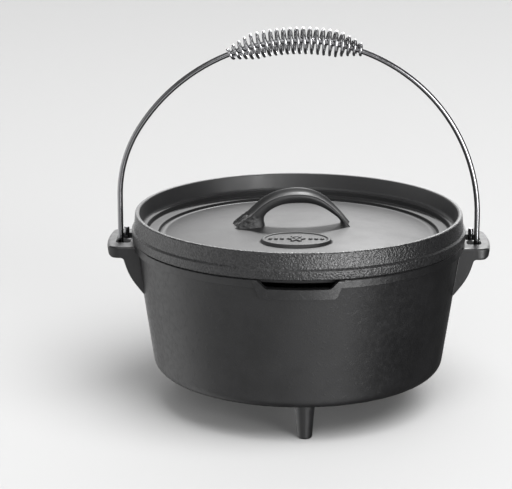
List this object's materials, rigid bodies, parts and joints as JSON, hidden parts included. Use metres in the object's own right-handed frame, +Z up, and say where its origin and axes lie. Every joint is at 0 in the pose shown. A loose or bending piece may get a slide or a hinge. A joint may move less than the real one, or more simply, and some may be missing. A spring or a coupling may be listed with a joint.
{
  "type": "cast iron camp dutch oven",
  "caption": "Round cast iron pot on short legs with a flanged coal-tray lid, loop lid handle, pouring notch and a hinged wire bail with a coil spring grip.",
  "frame": {"origin": "on the floor under the middle of the pot, between the feet", "axes": "+Z up; +X through the right ear along the bail's hinge line; -Y is the front with the pouring notch and one leg"},
  "size_m": [0.3634, 0.3166, 0.3629],
  "materials": {
    "cast_iron_pot": "pre-seasoned, sand-cast, matte",
    "cast_iron_lid": "pre-seasoned, sand-cast, satin plate",
    "bail_steel": "bright drawn wire",
    "coil_steel": "bright plated spring wire"
  },
  "bodies": {
    "pot": {"pot": "cast_iron_pot"},
    "lid": {"lid": "cast_iron_lid"},
    "bail": {"bail": "bail_steel", "grip_coil": "coil_steel"}
  },
  "joints": [
    {"name": "bail_swing", "type": "hinge", "parent": "pot", "child": "bail", "pos_m": [0, 0, 0.1528], "axis": [1, 0, 0], "range_deg": [-85, 38]},
    {"name": "lid_lift", "type": "slide", "parent": "pot", "child": "lid", "axis": [0, 0, 1], "range_m": [0, 0.05]}
  ]
}
